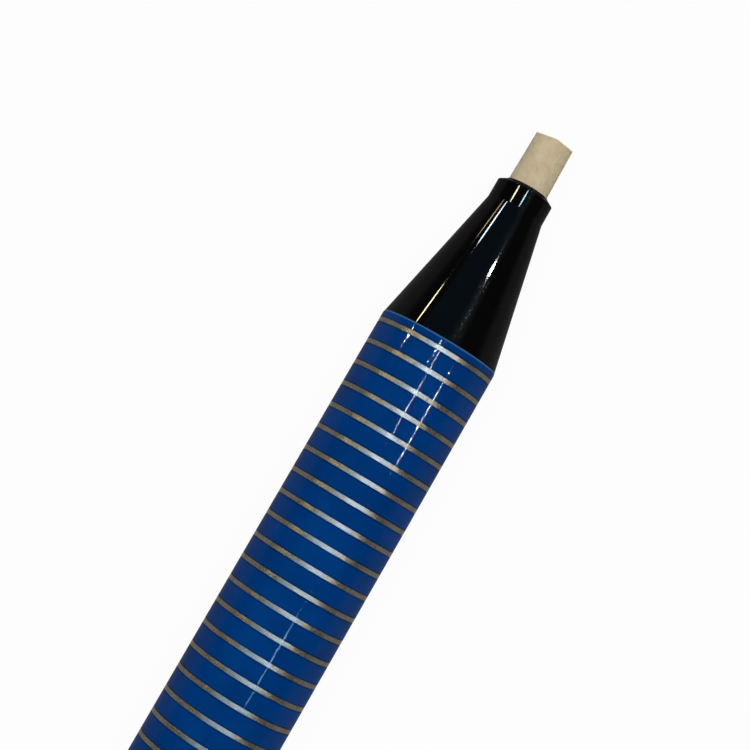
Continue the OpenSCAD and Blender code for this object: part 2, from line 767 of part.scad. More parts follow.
module clip_arm() {
    tail_x = clip_pin_x - tail_len;
    flat_x = clip_pin_x + arm_flat_len;
    bend_z = arm_drop - arm_kick;
    corner = 0.6;
    cheek_low = pin_z - pin_r - 0.3;
    cheek_back = 1.1;
    cheek_front = 1.5;
    cheek_tail = 0.3;
    cheek_end = 0.1;
    color([0.80, 0.80, 0.82]) leaned() difference() {
        union() {
            intersection() {
                translate([0, clip_half, 0]) rotate([90, 0, 0]) linear_extrude(height = clip_w) polygon([
                    [tail_x, roof_in],
                    [flat_x, roof_in],
                    [ball_x, roof_in - arm_drop],
                    [clip_tip_x, roof_in - bend_z],
                    [clip_tip_x, clip_outer - bend_z],
                    [ball_x, clip_outer - arm_drop],
                    [flat_x, clip_outer],
                    [tail_x, clip_outer]]);
                linear_extrude(height = clip_outer + cut) polygon([
                    [tail_x, -clip_half],
                    [flat_x, -clip_half],
                    [clip_tip_x - corner, -clip_tip_w / 2],
                    [clip_tip_x, -clip_tip_w / 2 + corner],
                    [clip_tip_x, clip_tip_w / 2 - corner],
                    [clip_tip_x - corner, clip_tip_w / 2],
                    [flat_x, clip_half],
                    [tail_x, clip_half]]);
            }
            for (s = [-1, 1]) translate([0, s * (clip_half - clip_t / 2) + clip_t / 2, 0])
                rotate([90, 0, 0]) linear_extrude(height = clip_t) polygon([
                    [tail_x, roof_in + clip_t / 2],
                    [tail_x, roof_in - cheek_tail],
                    [clip_pin_x - cheek_back, cheek_low],
                    [clip_pin_x + cheek_front, cheek_low],
                    [flat_x - cut, roof_in - cheek_end],
                    [flat_x - cut, roof_in + clip_t / 2]]);
            translate([ball_x, 0, ball_z]) sphere(r = ball_r, $fn = 48);
        }
        translate([clip_pin_x, -clip_w, pin_z])
            rotate([-90, 0, 0]) cylinder(h = 2 * clip_w, r = pin_r + pin_gap);
    }
}

eraser();
eraser_carrier();
carrier_peg();
tip_sleeve();
nose_cone();
front_bushing();
barrel();
silver_bands();
mid_ring();
guide_tube();
drag_spring();
front_washer();
spiral_sleeve();
drive_stem();
rear_washer();
retaining_clip();
rear_bushing();
friction_ring();
twist_knob();
knob_screw();
end_cap();
clip_ring();
clip_pin();
clip_spring();
clip_arm();
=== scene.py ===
# %% [markdown]
# # A pencil eraser stick: lacquer, silver bands, black gloss and vinyl
# The solids of this pen-shaped eraser holder come from the CAD model and stay where they are. This
# lesson gives them their looks. The pieces that can be seen get fresh meshes with rounded edges. The
# clip's spring and the pieces inside keep their CAD meshes and get materials. Lengths are written in
# millimetres and multiplied by MM.

import json
import math

import bmesh
import bpy
from mathutils import Matrix, Vector


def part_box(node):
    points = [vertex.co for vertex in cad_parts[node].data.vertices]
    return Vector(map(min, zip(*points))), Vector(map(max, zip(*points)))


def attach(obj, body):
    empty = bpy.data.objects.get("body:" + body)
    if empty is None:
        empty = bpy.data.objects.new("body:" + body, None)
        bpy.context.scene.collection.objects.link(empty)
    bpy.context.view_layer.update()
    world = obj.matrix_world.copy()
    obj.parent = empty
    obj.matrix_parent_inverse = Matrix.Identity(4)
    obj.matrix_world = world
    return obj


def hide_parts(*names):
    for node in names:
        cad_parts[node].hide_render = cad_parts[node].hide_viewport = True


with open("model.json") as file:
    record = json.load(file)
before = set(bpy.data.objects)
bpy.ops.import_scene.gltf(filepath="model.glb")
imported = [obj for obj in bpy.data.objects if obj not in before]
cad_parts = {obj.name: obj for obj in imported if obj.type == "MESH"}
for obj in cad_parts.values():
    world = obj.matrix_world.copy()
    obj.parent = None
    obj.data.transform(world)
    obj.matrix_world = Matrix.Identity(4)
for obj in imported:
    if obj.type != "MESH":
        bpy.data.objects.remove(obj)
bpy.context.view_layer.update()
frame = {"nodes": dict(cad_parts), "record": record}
MM = 0.001

# %% [markdown]
# Operators act on everything that is selected, and the loader leaves the CAD nodes selected. Each step
# starts with nothing selected and ends with one finished object whose place is in its mesh.


# %% Helpers for every piece
def clear_selection():
    if bpy.context.object and bpy.context.object.mode != "OBJECT":
        bpy.ops.object.mode_set(mode="OBJECT")
    bpy.ops.object.select_all(action="DESELECT")


def take(piece):
    clear_selection()
    piece.select_set(True)
    bpy.context.view_layer.objects.active = piece


def settle(piece):
    """Puts the piece's place into its mesh, so that the object sits at the origin."""
    take(piece)
    bpy.ops.object.transform_apply(location=True, rotation=True, scale=True)


def pick(piece, test):
    """In edit mode, selects the points whose place in millimetres passes the test."""
    bpy.ops.mesh.select_all(action="DESELECT")
    mesh = bmesh.from_edit_mesh(piece.data)
    for vertex in mesh.verts:
        vertex.select = bool(test(*(vertex.co / MM)))
    mesh.select_flush(True)
    bmesh.update_edit_mesh(piece.data)


def dress(piece, material):
    piece.data.materials.clear()
    piece.data.materials.append(material)


def join(pieces):
    take(pieces[0])
    for piece in pieces:
        piece.select_set(True)
    bpy.ops.object.join()
    return bpy.context.object


def count(piece):
    piece.data.calc_loop_triangles()
    print(f"{piece.name}: {len(piece.data.loop_triangles)} triangles")


# %% [markdown]
# Most of the holder is round. On a lathe such a piece is turned from its half section, and here it is
# made the same way: one vertex is extruded along the section, point by point, and the closed outline is
# spun once around the axis. A bevel then breaks the edges, because a real edge is never sharp and
# catches a thin line of light.


# %% Turning a piece from its half section
def propped(section, gap):
    """Adds a point beside each corner, so that the face between two rounded corners stays straight."""
    points = []
    for here, there in zip(section, section[1:] + section[:1]):
        points.append(here)
        share = gap / math.dist(here, there)
        if share < 0.3:
            points.append([h + (t - h) * share for h, t in zip(here, there)])
            points.append([t - (t - h) * share for h, t in zip(here, there)])
    return points


def drawn(name, points):
    """Starts a piece in edit mode, as one vertex that is extruded from point to point, in metres."""
    clear_selection()
    bpy.ops.mesh.primitive_plane_add(size=MM)
    piece = bpy.context.object
    piece.name = name
    piece.data.name = name
    bpy.ops.object.mode_set(mode="EDIT")
    bpy.ops.mesh.select_all(action="SELECT")
    bpy.ops.mesh.merge(type="CENTER")
    bpy.ops.transform.translate(value=points[0])
    for here, there in zip(points, points[1:]):
        bpy.ops.mesh.extrude_vertices_move(TRANSFORM_OT_translate={"value": there - here})
    bpy.ops.mesh.select_all(action="SELECT")
    return piece


def turned(name, section, steps=128, bevel=0.0, segments=2, angle=25):
    """section: [place along the axis, radius] in millimetres, closed unless both ends are on the axis."""
    if bevel:
        section = propped(section, 1.6 * bevel)
    closing = section[:1] if section[0][1] or section[-1][1] else []
    piece = drawn(name, [Vector((x * MM, 0, r * MM)) for x, r in section + closing])
    bpy.ops.mesh.spin(
        steps=steps, angle=2 * math.pi, center=(0, 0, 0), axis=(1, 0, 0), use_auto_merge=True
    )
    bpy.ops.mesh.select_all(action="SELECT")
    bpy.ops.mesh.remove_doubles(threshold=0.0005 * MM)
    bpy.ops.mesh.normals_make_consistent(inside=False)
    bpy.ops.object.mode_set(mode="OBJECT")
    if bevel:
        soften(piece, bevel, segments, angle)
    smooth(piece)
    return piece


def soften(piece, width, segments=2, angle=25):
    take(piece)
    edge = piece.modifiers.new("edges", "BEVEL")
    edge.width = width * MM
    edge.segments = segments
    edge.limit_method = "ANGLE"
    edge.angle_limit = math.radians(angle)
    bpy.ops.object.modifier_apply(modifier=edge.name)


def smooth(piece, angle=30):
    take(piece)
    bpy.ops.object.shade_smooth_by_angle(angle=math.radians(angle))


# %% [markdown]
# A finish is more than one colour. Each material here starts from a Principled shader, and noise that
# reads the object's own coordinates varies its colour, its roughness and its surface a little, at the
# size the real surface shows. Coordinates are in metres, so a noise scale of 1000 gives spots of about
# one millimetre.


# %% Helpers for materials
def finish(name, roughness, metal=0.0, ior=1.45, coat=0.0, coat_roughness=0.03, specular=0.5):
    material = bpy.data.materials.new(name)
    material.use_nodes = True
    shader = material.node_tree.nodes["Principled BSDF"]
    shader.inputs["Roughness"].default_value = roughness
    shader.inputs["Metallic"].default_value = metal
    shader.inputs["IOR"].default_value = ior
    shader.inputs["Specular IOR Level"].default_value = specular
    shader.inputs["Coat Weight"].default_value = coat
    shader.inputs["Coat Roughness"].default_value = coat_roughness
    place = material.node_tree.nodes.new("ShaderNodeTexCoord")
    return material, material.node_tree, shader, place.outputs["Object"]


def stretched(tree, vector, scale):
    node = tree.nodes.new("ShaderNodeMapping")
    node.inputs["Scale"].default_value = scale
    tree.links.new(vector, node.inputs["Vector"])
    return node.outputs["Vector"]


def noise(tree, vector, scale, detail=3.0, rough=0.5):
    node = tree.nodes.new("ShaderNodeTexNoise")
    node.inputs["Scale"].default_value = scale
    node.inputs["Detail"].default_value = detail
    node.inputs["Roughness"].default_value = rough
    tree.links.new(vector, node.inputs["Vector"])
    return node.outputs["Fac"]


def ramp(tree, factor, stops):
    node = tree.nodes.new("ShaderNodeValToRGB")
    while len(node.color_ramp.elements) < len(stops):
        node.color_ramp.elements.new(0.5)
    for element, (position, colour) in zip(node.color_ramp.elements, stops):
        element.position = position
        element.color = (*colour, 1)
    tree.links.new(factor, node.inputs["Fac"])
    return node.outputs["Color"]


def spread(tree, factor, low, high, start=0.3, end=0.7):
    node = tree.nodes.new("ShaderNodeMapRange")
    node.inputs["From Min"].default_value = start
    node.inputs["From Max"].default_value = end
    node.inputs["To Min"].default_value = low
    node.inputs["To Max"].default_value = high
    tree.links.new(factor, node.inputs["Value"])
    return node.outputs["Result"]


def bump(tree, shader, height, depth, socket="Normal"):
    """depth: how far the surface rises, in millimetres, where the height is 1."""
    node = tree.nodes.new("ShaderNodeBump")
    node.inputs["Distance"].default_value = depth * MM
    tree.links.new(height, node.inputs["Height"])
    tree.links.new(node.outputs["Normal"], shader.inputs[socket])


def combine(tree, kind, a, b):
    node = tree.nodes.new("ShaderNodeMath")
    node.operation = kind
    for value, socket in ((a, node.inputs[0]), (b, node.inputs[1])):
        if isinstance(value, (int, float)):
            socket.default_value = value
        else:
            tree.links.new(value, socket)
    return node.outputs["Value"]


def srgb(r, g, b):
    """A colour as a picture program shows it, 0 to 255, in the linear values that shaders use."""
    return tuple((v / 255 / 12.92) if v <= 10 else ((v / 255 + 0.055) / 1.055) ** 2.4 for v in (r, g, b))


# %% [markdown]
# The bands follow each other at one even pitch, and both the lacquer and the metal change towards a
# band's edge. A triangle wave along the barrel gives each point's distance from the middle of the
# nearest band.

# %% Pitch of the bands
PITCH = 2.294
FIRST = 0.78
BAND_W = 0.45


def split(tree, vector):
    node = tree.nodes.new("ShaderNodeSeparateXYZ")
    tree.links.new(vector, node.inputs["Vector"])
    return node.outputs


def from_band(tree, along):
    return combine(tree, "PINGPONG", combine(tree, "ADD", along, FIRST * MM), PITCH / 2 * MM)


# %% [markdown]
# The barrel's blue is a thick lacquer with a hard, clear gloss. The pigment lies in a matt base, and the
# gloss in a clear coat over it. A faint unevenness of the film breaks the reflected lamps into short
# dashes. Just outside each band's edge the blue is painted darker, in a seam with an uneven border: this
# is painted shade. Along the front edge a pale line is painted in: a painted highlight on the edge.

# %% Blue lacquer
lacquer, tree, shader, place = finish("blue lacquer", 0.5, coat=0.08, specular=0.0)
cloudy = noise(tree, place, 260, 2)
ragged = noise(tree, place, 5200, 2)
along = split(tree, place)["X"]
# Painted highlight: a pale line along the barrel's front edge, where the rounded edge catches light.
painted_edge_highlight = spread(tree, along, 0, 0.55, 0.06 * MM, 0.16 * MM)
edge = combine(tree, "ADD", from_band(tree, along), combine(tree, "MULTIPLY", ragged, 0.06 * MM))
# Painted shade: the blue is darker just outside each band's edge, with an uneven border.
painted_seam_shade = spread(tree, edge, 0.22, 0, 0.26 * MM, 0.46 * MM)
tone = combine(tree, "ADD", combine(tree, "MULTIPLY", cloudy, 0.3), painted_edge_highlight)
tone = combine(tree, "ADD", combine(tree, "SUBTRACT", tone, painted_seam_shade), 0.2)
# The darkest stop serves the painted shade, and the palest stop the painted highlight.
stops = [
    (0.10, srgb(2, 32, 70)),
    (0.30, srgb(0, 51, 112)),
    (0.40, srgb(0, 56, 122)),
    (0.50, srgb(4, 60, 122)),
    (0.9, srgb(58, 104, 140)),
]
tree.links.new(ramp(tree, tone, stops), shader.inputs["Base Color"])
film = noise(tree, place, 3000, 2)
bump(tree, shader, film, 0.0045, socket="Coat Normal")

# %% [markdown]
# The bands are bare metal with a brushed and etched face. Tiny facets point in all directions, so that
# the lamps come back as a wide soft patch with bright and dark grains in it. The metal's dull brownish
# tone is partly a painted reflection of a brownish room. A lighter, bluish patch painted along the side
# that lies upwards is a painted highlight, and the darker rim painted along its edges is painted shade.

# %% Silver band metal
# The painted highlight lies at this angle around the axis, near the top.
HIGHLIGHT_ANGLE = 0.04


def off_angle(tree, parts, angle):
    """How far a point lies from an angle around the axis, in radians, where 0 is straight up."""
    around = combine(tree, "ARCTAN2", combine(tree, "MULTIPLY", parts["Y"], -1.0), parts["Z"])
    return combine(tree, "ABSOLUTE", combine(tree, "SUBTRACT", around, angle), 0.0)


band_metal, tree, shader, place = finish("silver band metal", 0.34, metal=0.8, ior=1.6)
shader.inputs["Specular Tint"].default_value = (0.42, 0.41, 0.39, 1)
grain = noise(tree, place, 6000, 3, 0.75)
parts = split(tree, place)
# Painted highlight: a lighter, bluish patch along the top of each band, with an uneven border.
off_highlight = off_angle(tree, parts, HIGHLIGHT_ANGLE)
highlight_wobble = combine(tree, "MULTIPLY", noise(tree, place, 1500, 2), 0.2)
painted_highlight = spread(tree, combine(tree, "ADD", off_highlight, highlight_wobble), 0.42, 0.0, 0.27, 0.50)
# Painted shade: the metal is darker towards each band's edge.
painted_rim_shade = combine(tree, "ADD", from_band(tree, parts["X"]), combine(tree, "MULTIPLY", grain, 0.07 * MM))
tone = combine(tree, "ADD", spread(tree, grain, 0.1, 0.4, 0.36, 0.64), painted_highlight)
tone = combine(tree, "SUBTRACT", tone, spread(tree, painted_rim_shade, 0, 0.14, 0.2 * MM, 0.27 * MM))
# The brown stops are the metal's dull tone and partly a painted reflection; the bluish top stop is
# reached only in the painted highlight.
stops = [
    (0.0, srgb(50, 48, 45)),
    (0.16, srgb(86, 83, 75)),
    (0.34, srgb(113, 107, 94)),
    (0.75, srgb(142, 149, 154)),
]
tree.links.new(ramp(tree, tone, stops), shader.inputs["Base Color"])
tree.links.new(spread(tree, grain, 0.28, 0.42), shader.inputs["Roughness"])
bump(tree, shader, grain, 0.014)

# %% [markdown]
# The nose is black moulded plastic with a high polish. It shows nearly nothing of its own, only what it
# reflects. Use has left fine dust along one line of its top, which is where it lies when it is put down:
# a mask by the angle around the axis keeps the specks there, and a wider, weaker noise spreads a few
# elsewhere.

# %% Black gloss
DUST_ANGLE = 0.20
black_gloss, tree, shader, place = finish("black gloss", 0.5, coat=0.09, specular=0.0)
off_line = off_angle(tree, split(tree, place), DUST_ANGLE)
line = spread(tree, off_line, 1.0, 0.0, 0.01, 0.13)
specks = noise(tree, place, 4600, 1)
rubs = noise(tree, stretched(tree, place, (260, 1400, 1400)), 1.0, 2)
dust = spread(tree, specks, 0, 1, 0.58, 0.74)
dust = combine(tree, "MULTIPLY", dust, spread(tree, rubs, 0, 1, 0.46, 0.62))
haze = combine(tree, "MULTIPLY", line, combine(tree, "MULTIPLY", rubs, 0.44))
density = combine(tree, "ADD", combine(tree, "MULTIPLY", line, 0.55), 0.05)
marks = combine(tree, "ADD", combine(tree, "MULTIPLY", dust, density), haze)
stops = [(0.0, srgb(6, 6, 6)), (0.25, srgb(20, 22, 24)), (1.0, srgb(96, 98, 96))]
tree.links.new(ramp(tree, marks, stops), shader.inputs["Base Color"])
wave = noise(tree, place, 700, 1)
bump(tree, shader, wave, 0.00022, socket="Coat Normal")

# %% [markdown]
# The thin sleeve at the nose is stained metal, darker and duller than the nose, with dust in its pores.

# %% Dark sleeve
sleeve_metal, tree, shader, place = finish("dark sleeve", 0.55, ior=1.3)
stain = noise(tree, place, 2500, 3)
stops = [(0.35, srgb(8, 8, 9)), (0.7, srgb(22, 22, 21))]
tree.links.new(ramp(tree, stain, stops), shader.inputs["Base Color"])
bump(tree, shader, stain, 0.004)

# %% [markdown]
# Vinyl eraser is soft and chalky. Its surface is matt, its white has turned beige with graphite and skin
# oil, and it is mottled in patches of about a millimetre, with fine grey specks between them.

# %% Vinyl eraser
vinyl, tree, shader, place = finish("eraser vinyl", 0.78, ior=1.45, specular=0.15)
patches = noise(tree, place, 900, 4, 0.6)
fine = noise(tree, place, 5200, 3, 0.7)
tone = combine(tree, "ADD", combine(tree, "MULTIPLY", patches, 0.6), combine(tree, "MULTIPLY", fine, 0.4))
stops = [(0.30, srgb(181, 165, 132)), (0.50, srgb(199, 182, 148)), (0.70, srgb(211, 196, 164))]
tree.links.new(ramp(tree, tone, stops), shader.inputs["Base Color"])
shader.inputs["Sheen Weight"].default_value = 0.03
shader.inputs["Sheen Roughness"].default_value = 0.5
bump(tree, shader, tone, 0.05)

# %% [markdown]
# The fittings behind are bright metal: nickel on the rings, clip and cap, steel on the springs, pin and
# washers, brass in the front bushing. Turning leaves fine rings around the axis, so their noise changes
# fast along it and slowly across it. The clip isn't turned, and its rings are coarser and nearly flat.


# %% Metals
def turned_metal(name, dark, light, roughness, lines=9000, depth=0.0002):
    material, tree, shader, place = finish(name, roughness, metal=1.0)
    rings = noise(tree, stretched(tree, place, (lines, 60, 60)), 1.0, 2)
    cloud = noise(tree, place, 150, 2)
    tree.links.new(ramp(tree, cloud, [(0.3, dark), (0.7, light)]), shader.inputs["Base Color"])
    tree.links.new(spread(tree, rings, roughness * 0.7, roughness * 1.4), shader.inputs["Roughness"])
    bump(tree, shader, rings, depth)
    return material


nickel = turned_metal("bright nickel", srgb(166, 165, 162), srgb(180, 179, 176), 0.15)
clip_nickel = turned_metal("clip nickel", srgb(166, 165, 162), srgb(180, 179, 176), 0.17, 1200, 0.00003)
steel = turned_metal("steel", srgb(142, 143, 146), srgb(176, 177, 180), 0.28)
brass = turned_metal("brass", srgb(178, 146, 78), srgb(208, 178, 108), 0.26)

# %% [markdown]
# Inside are a white carrier and guide tube, a dark spiral sleeve and a rubber ring. They are seldom
# seen, and still get their own finish. The knob is the nose's black plastic, a little duller where
# fingers hold it.


# %% Plastics and rubber
def moulded(name, dark, light, roughness, scale=700):
    material, tree, shader, place = finish(name, roughness)
    cloud = noise(tree, place, scale, 3)
    grain = noise(tree, place, scale * 7, 2)
    tree.links.new(ramp(tree, cloud, [(0.3, dark), (0.7, light)]), shader.inputs["Base Color"])
    tree.links.new(spread(tree, cloud, roughness * 0.8, roughness * 1.3), shader.inputs["Roughness"])
    bump(tree, shader, grain, 0.004)
    return material


white_plastic = moulded("white plastic", srgb(214, 213, 208), srgb(228, 227, 222), 0.35)
dark_plastic = moulded("dark plastic", srgb(44, 45, 48), srgb(58, 59, 62), 0.42)
rubber = moulded("seal rubber", srgb(16, 16, 16), srgb(26, 26, 25), 0.7, scale=1200)

knob_black, tree, shader, place = finish("knob black", 0.5, coat=0.13, coat_roughness=0.12, specular=0.0)
touched = noise(tree, place, 900, 3)
stops = [(0.35, srgb(7, 7, 8)), (0.7, srgb(15, 15, 16))]
tree.links.new(ramp(tree, touched, stops), shader.inputs["Base Color"])
bump(tree, shader, touched, 0.0006, socket="Coat Normal")

# %% [markdown]
# Every CAD node takes a finish by its material slot, so that the pieces left in view are never plain.

# %% Finishes for the CAD nodes
BY_SLOT = {
    "eraser": vinyl,
    "black_gloss": black_gloss,
    "lacquer_blue": lacquer,
    "silver_band": band_metal,
    "bright_trim": nickel,
    "steel": steel,
    "brass": brass,
    "white_plastic": white_plastic,
    "dark_plastic": dark_plastic,
    "black_metal": sleeve_metal,
    "seal": rubber,
}
for entry in frame["record"]["subparts"]:
    dress(frame["nodes"][entry["node"]], BY_SLOT[entry["material_slot"]])

# %% [markdown]
# The barrel is a drawn tube, turned with a shallow groove for each band. The groove is a hair wider than
# the band on its rear side: on the real one that hairline stays open and reads as a thin dark edge below
# each band.

# %% Barrel
BARREL_R = 6.0
BORE_R = 5.3
FRONT_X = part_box("barrel")[1].x / MM
REAR_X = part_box("barrel")[0].x / MM
BAND_DEEP = 0.06
HAIRLINE = 0.035
EDGE_DROP = 0.05
MID_X = (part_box("mid_ring")[0].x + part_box("mid_ring")[1].x) / 2 / MM
MID_W = 1.2
MID_DEEP = 0.37
END_ROOM = 1


def holds_broad_ring(x):
    return abs(x - MID_X) < 0.1


band_places = []
while -FIRST - len(band_places) * PITCH > REAR_X + END_ROOM:
    band_places.append(-FIRST - len(band_places) * PITCH)

section = [[REAR_X, BORE_R], [FRONT_X, BORE_R], [FRONT_X, BARREL_R - EDGE_DROP], [0, BARREL_R]]
for x in band_places:
    if holds_broad_ring(x):
        half, bottom, rear_gap = MID_W / 2, BARREL_R - MID_DEEP, 0
    else:
        half, bottom, rear_gap = BAND_W / 2, BARREL_R - BAND_DEEP, HAIRLINE
    low_x, high_x = x - half - rear_gap, x + half
    section += [[high_x, BARREL_R], [high_x, bottom], [low_x, bottom], [low_x, BARREL_R]]
section += [[REAR_X, BARREL_R]]
barrel = turned("barrel_tube", section, steps=144, bevel=0.012, segments=1, angle=30)
dress(barrel, lacquer)
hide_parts("barrel")
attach(barrel, "holder")
count(barrel)

# %% [markdown]
# One band is a flat ring with broken edges. It is made once and copied along the barrel, each copy with
# its own mesh, and the copies are joined into one piece.

# %% Silver bands
half = BAND_W / 2
ring = turned(
    "silver_rings",
    [[-half, BARREL_R - BAND_DEEP], [half, BARREL_R - BAND_DEEP], [half, BARREL_R], [-half, BARREL_R]],
    steps=144,
    bevel=0.02,
)
copies = [ring]
places = [x for x in band_places if not holds_broad_ring(x)]
for x in places[1:]:
    take(ring)
    bpy.ops.object.duplicate(linked=False)
    copy = bpy.context.object
    copy.location.x = x * MM
    copies.append(copy)
ring.location.x = places[0] * MM
rings = join(copies)
settle(rings)
dress(rings, band_metal)
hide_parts("silver_bands")
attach(rings, "holder")
count(rings)
print(len(places), "bands, first at", places[0], "mm, last at", round(places[-1], 2), "mm")

# %% [markdown]
# The nose is turned in one piece: a spigot inside the barrel, the cone, a short straight collar and a
# chamfer. The real spigot has a thread, which is out of sight and left plain here. The edges are
# slightly rounder than the barrel's, as moulded plastic is.

# %% Nose cone
spigot_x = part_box("nose_cone")[0].x / MM
nose_tip_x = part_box("nose_cone")[1].x / MM
lip_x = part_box("tip_sleeve")[1].x / MM
sleeve_back_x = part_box("tip_sleeve")[0].x / MM
LIP_LEN = 7.5
sleeve_seat_x = lip_x - LIP_LEN
GAP = 0.02
SLEEVE_R = 2.2
SEAT_R = 2.65
THREAD_R = 4.65
NECK_R = 4.3
NECK_LEN = 0.8
CONE_R = 5.94
CONE_LEN = 14.45
COLLAR_R = 2.9
COLLAR_LEN = 1.93
TIP_R = 2.3
NOSE_BORE_R = 3.6
NOSE_BORE_X = 3.0
neck_x = FRONT_X - NECK_LEN
collar_x = FRONT_X + CONE_LEN
nose = turned(
    "nose",
    [
        [spigot_x, NOSE_BORE_R], [spigot_x, THREAD_R - GAP], [neck_x, THREAD_R - GAP],
        [neck_x, NECK_R], [FRONT_X, NECK_R], [FRONT_X, CONE_R],
        [collar_x, COLLAR_R], [collar_x + COLLAR_LEN, COLLAR_R],
        [nose_tip_x, TIP_R], [nose_tip_x, SLEEVE_R + GAP], [sleeve_seat_x, SLEEVE_R + GAP],
        [sleeve_seat_x, SEAT_R + GAP], [sleeve_back_x, SEAT_R + GAP], [NOSE_BORE_X, NOSE_BORE_R],
    ],
    steps=192,
    bevel=0.03,
    segments=3,
    angle=8,
)
dress(nose, black_gloss)
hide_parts("nose_cone")
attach(nose, "holder")
count(nose)

# %% [markdown]
# The sleeve is a thin tube with a thick rear end that sits inside the nose. Only its front lip shows,
# as a narrow dark ring around the eraser.

# %% Tip sleeve
SLEEVE_WALL = 0.12
sleeve = turned(
    "tip_tube",
    [
        [sleeve_back_x, SLEEVE_R - SLEEVE_WALL], [sleeve_back_x, SEAT_R], [sleeve_seat_x, SEAT_R],
        [sleeve_seat_x, SLEEVE_R], [lip_x, SLEEVE_R], [lip_x, SLEEVE_R - SLEEVE_WALL],
    ],
    bevel=0.03,
)
dress(sleeve, sleeve_metal)
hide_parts("tip_sleeve")
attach(sleeve, "holder")
count(sleeve)

# %% [markdown]
# The eraser is a cut length of extruded vinyl. Rubbing has worn its end to two flat faces that meet in a
# low ridge. Two tilted blocks are taken out of a turned stick by booleans, which leave the end closed,
# and the worn edges are rounded more than any other edge on the object, because the material is soft.

# %% Eraser stick
def combine_with(piece, other, kind):
    """Joins the other piece to the first, or cuts it out, and deletes it."""
    take(piece)
    step = piece.modifiers.new(kind.lower(), "BOOLEAN")
    step.operation = kind
    step.solver = "EXACT"
    step.object = other
    bpy.ops.object.modifier_apply(modifier=step.name)
    bpy.data.objects.remove(other, do_unlink=True)


ERASER_R = 2.05
WORN_R = 1.94
ERASER_OUT = 5.68
RIDGE_Y = -0.08
LEAN = 11.6
WEAR = 9.6
WORN_BACK = 0.5
WORN_EDGE = 0.06
CUT_OFF = 2
BLOCK = 10
eraser_back_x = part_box("eraser")[0].x / MM
tip_x = lip_x + ERASER_OUT
eraser = turned(
    "eraser_stick",
    [
        [eraser_back_x, 0], [eraser_back_x, ERASER_R], [lip_x - WORN_BACK, ERASER_R], [tip_x, WORN_R],
        [tip_x + CUT_OFF, WORN_R], [tip_x + CUT_OFF, 0],
    ],
)
lean = math.radians(LEAN)
for turn in (math.radians(WEAR), math.radians(-WEAR)):
    tilt = Matrix.Rotation(turn, 3, "Z") @ Matrix.Rotation(-lean, 3, "Y")
    middle = Vector((tip_x, RIDGE_Y, 0)) + tilt @ Vector((BLOCK / 2, 0, 0))
    clear_selection()
    bpy.ops.mesh.primitive_cube_add(size=BLOCK * MM, location=middle * MM, rotation=tilt.to_euler())
    block = bpy.context.object
    settle(block)
    combine_with(eraser, block, "DIFFERENCE")
soften(eraser, WORN_EDGE, 3, 8)
smooth(eraser, 35)
dress(eraser, vinyl)
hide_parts("eraser")
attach(eraser, "carrier")
count(eraser)

# %% [markdown]
# Behind the barrel sits the bearing of the twist knob. Its flange shows as a bright ring with a broken
# edge, and the broad ring in the barrel is the same bright metal. Both are plain turned pieces with a
# bore.

# %% Rear bushing and mid ring
SHAFT_R = 2.85
FLANGE_R = 5.75
FLANGE_EDGE = 0.15
MID_IN_R = BARREL_R - 0.35
flange_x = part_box("rear_bushing")[0].x / MM
bush_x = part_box("rear_bushing")[1].x / MM
ring_back_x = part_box("clip_ring")[0].x / MM
bushing = turned(
    "bearing_flange",
    [
        [flange_x, SHAFT_R], [flange_x, FLANGE_R - FLANGE_EDGE], [flange_x + FLANGE_EDGE, FLANGE_R],
        [ring_back_x - GAP, FLANGE_R], [ring_back_x - GAP, BORE_R - GAP],
        [bush_x, BORE_R - GAP], [bush_x, SHAFT_R],
    ],
    bevel=0.04,
)
dress(bushing, nickel)
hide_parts("rear_bushing")
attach(bushing, "holder")
count(bushing)

mid_low, mid_high = (corner.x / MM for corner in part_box("mid_ring"))
mid_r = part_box("mid_ring")[1].z / MM
mid = turned(
    "broad_ring",
    [[mid_low, MID_IN_R], [mid_low, mid_r], [mid_high, mid_r], [mid_high, MID_IN_R]],
    steps=144,
    bevel=0.05,
)
dress(mid, nickel)
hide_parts("mid_ring")
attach(mid, "holder")
count(mid)

# %% [markdown]
# The knob is turned too, with a narrow groove near its front and a taper at its rear. It is hollow: the
# stem enters from the front, the cap's plug from behind, and a web between them takes the screw.

# %% Twist knob
knob_back_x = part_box("twist_knob")[0].x / MM
knob_front_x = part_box("twist_knob")[1].x / MM
KNOB_R = 5.6
KNOB_EDGE = 0.3
GROOVE_W = 0.6
GROOVE_R = KNOB_R - 0.3
GROOVE_X = knob_front_x - 3.0
TAPER_X = knob_back_x + 1.4
KNOB_END_R = 4.55
STEM_R = 2.82
PLUG_R = 3.2
SCREW_R = 1.1
WEB_BACK_X = knob_back_x + 5.4
WEB_FRONT_X = knob_back_x + 7.0
knob = turned(
    "grip_knob",
    [
        [knob_front_x, STEM_R], [knob_front_x, KNOB_R - KNOB_EDGE], [knob_front_x - KNOB_EDGE, KNOB_R],
        [GROOVE_X + GROOVE_W, KNOB_R], [GROOVE_X + GROOVE_W, GROOVE_R], [GROOVE_X, GROOVE_R],
        [GROOVE_X, KNOB_R], [TAPER_X, KNOB_R], [knob_back_x, KNOB_END_R], [knob_back_x, PLUG_R],
        [WEB_BACK_X, PLUG_R], [WEB_BACK_X, SCREW_R], [WEB_FRONT_X, SCREW_R], [WEB_FRONT_X, STEM_R],
    ],
    steps=192,
    bevel=0.06,
)
print("knob from", round(knob_back_x, 1), "to", round(knob_front_x, 1), "mm")

# %% [markdown]
# Grip flutes are milled into the turned knob. One cutter is a ball stretched to a rod with round ends,
# copied around the axis. The copies are joined, and one boolean takes all of them out of the knob.

# %% Grip flutes
FLUTES = 24
FLUTE_R = 0.55
FLUTE_DEEP = 0.28
FLUTE_LEN = 11.0
FLUTE_FRONT_X = GROOVE_X - 0.7


